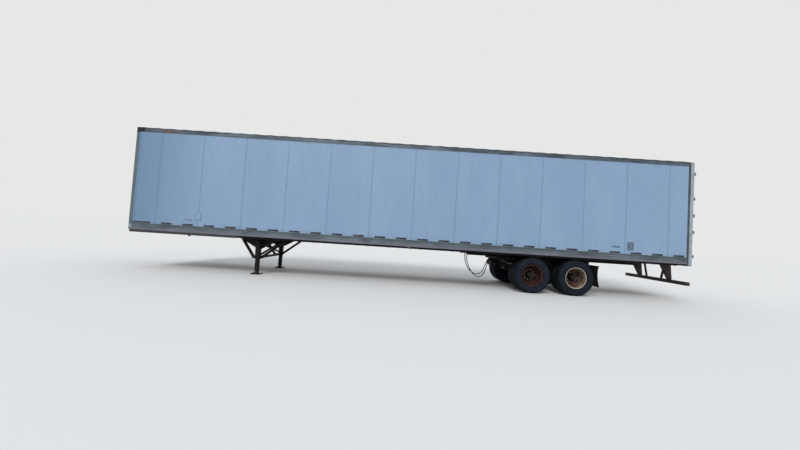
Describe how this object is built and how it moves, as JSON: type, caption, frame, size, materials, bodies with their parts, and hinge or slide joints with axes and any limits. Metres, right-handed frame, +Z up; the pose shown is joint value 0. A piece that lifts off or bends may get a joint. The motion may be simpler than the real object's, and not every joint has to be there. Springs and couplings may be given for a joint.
{
  "type": "dry van semi trailer",
  "caption": "Dry van semi trailer with plate walls, swing doors, landing legs, kingpin and a sliding tandem with dual wheels.",
  "frame": {"origin": "on the ground, below the middle of the overall length and width", "axes": "+X from the nose to the rear doors, +Y to the right side, +Z up"},
  "size_m": [16.224, 2.591, 4.045],
  "materials": {
    "wall_panel": "faded white gloss paint",
    "rail_metal": "weathered mill finish",
    "corner_metal": "weathered mill finish",
    "roof_metal": "bare sheet",
    "floor_wood": "worn laminated hardwood",
    "frame_steel": "black paint with rust",
    "coupler_steel": "weathered grey-green paint with rust",
    "kingpin_steel": "greased forged steel",
    "leg_steel": "black paint",
    "door_panel": "faded white gloss paint",
    "door_hardware": "galvanized steel",
    "rear_frame_steel": "grey galvanized steel",
    "guard_steel": "dark paint with rust",
    "spring_steel": "black oxide with rust",
    "axle_steel": "black paint, dusty",
    "wheel_white": "aged white enamel with rust",
    "wheel_rust": "rusted red-brown enamel",
    "hub_iron": "rusty cast iron",
    "tyre_rubber": "dusty rubber",
    "flap_rubber": "black moulded rubber",
    "hose_rubber": "black rubber",
    "coupling_metal": "cast",
    "lamp_lens": "red lens",
    "marker_lens": "amber lens"
  },
  "bodies": {
    "trailer": {"air_line": "hose_rubber", "air_line_inner": "hose_rubber", "body_rails": "frame_steel", "bottom_rails": "rail_metal", "coupler_frame": "coupler_steel", "coupler_plate": "kingpin_steel", "crossmembers": "frame_steel", "floor_boards": "floor_wood", "front_corners": "corner_metal", "front_panels": "wall_panel", "front_posts": "rail_metal", "front_rails": "rail_metal", "gladhands": "coupling_metal", "kingpin": "kingpin_steel", "landing_feet": "leg_steel", "landing_legs": "leg_steel", "leg_braces": "leg_steel", "leg_gears": "leg_steel", "leg_wings": "leg_steel", "marker_lamps": "marker_lens", "rear_guard": "guard_steel", "rear_header": "rear_frame_steel", "rear_posts": "rear_frame_steel", "rear_sill": "rear_frame_steel", "roof_bows": "rail_metal", "roof_sheet": "roof_metal", "side_panels_left": "wall_panel", "side_panels_right": "wall_panel", "side_posts_left": "rail_metal", "side_posts_right": "rail_metal", "tail_lamps": "lamp_lens", "top_rails": "rail_metal"},
    "bogie": {"slider_frame": "frame_steel", "axles": "axle_steel", "leaf_springs": "spring_steel", "equalizers": "spring_steel", "radius_rods": "axle_steel", "brake_chambers": "axle_steel", "mud_flaps": "flap_rubber", "flap_hangers": "frame_steel", "air_tank": "frame_steel", "spring_clamps": "spring_steel"},
    "left_door": {"door_left": "door_panel", "door_hinges_left": "door_hardware", "lock_rods_left": "door_hardware"},
    "right_door": {"door_right": "door_panel", "door_hinges_right": "door_hardware", "lock_rods_right": "door_hardware"},
    "front_left_wheels": {"wheels_front_left": "wheel_rust", "tyres_front_left": "tyre_rubber", "hub_front_left": "hub_iron"},
    "front_right_wheels": {"wheels_front_right": "wheel_rust", "tyres_front_right": "tyre_rubber", "hub_front_right": "hub_iron"},
    "rear_left_wheels": {"wheels_rear_left": "wheel_white", "tyres_rear_left": "tyre_rubber", "hub_rear_left": "hub_iron"},
    "rear_right_wheels": {"wheels_rear_right": "wheel_white", "tyres_rear_right": "tyre_rubber", "hub_rear_right": "hub_iron"}
  },
  "joints": [
    {"name": "tandem_slide", "type": "slide", "parent": "trailer", "child": "bogie", "axis": [1, 0, 0], "range_m": [-0.762, 1.3716], "deforming": ["air_line", "air_line_inner"]},
    {"name": "left_door_hinge", "type": "hinge", "parent": "trailer", "child": "left_door", "pos_m": [8.063, -1.2805, 2.5], "axis": [0, 0, -1], "range_deg": [0, 265]},
    {"name": "right_door_hinge", "type": "hinge", "parent": "trailer", "child": "right_door", "pos_m": [8.063, 1.2805, 2.5], "axis": [0, 0, 1], "range_deg": [0, 265]},
    {"name": "front_left_spin", "type": "hinge", "parent": "bogie", "child": "front_left_wheels", "pos_m": [3.521, -0.984, 0.508], "axis": [0, 1, 0], "continuous": true},
    {"name": "front_right_spin", "type": "hinge", "parent": "bogie", "child": "front_right_wheels", "pos_m": [3.521, 0.984, 0.508], "axis": [0, 1, 0], "continuous": true},
    {"name": "rear_left_spin", "type": "hinge", "parent": "bogie", "child": "rear_left_wheels", "pos_m": [4.766, -0.984, 0.508], "axis": [0, 1, 0], "continuous": true},
    {"name": "rear_right_spin", "type": "hinge", "parent": "bogie", "child": "rear_right_wheels", "pos_m": [4.766, 0.984, 0.508], "axis": [0, 1, 0], "continuous": true}
  ]
}
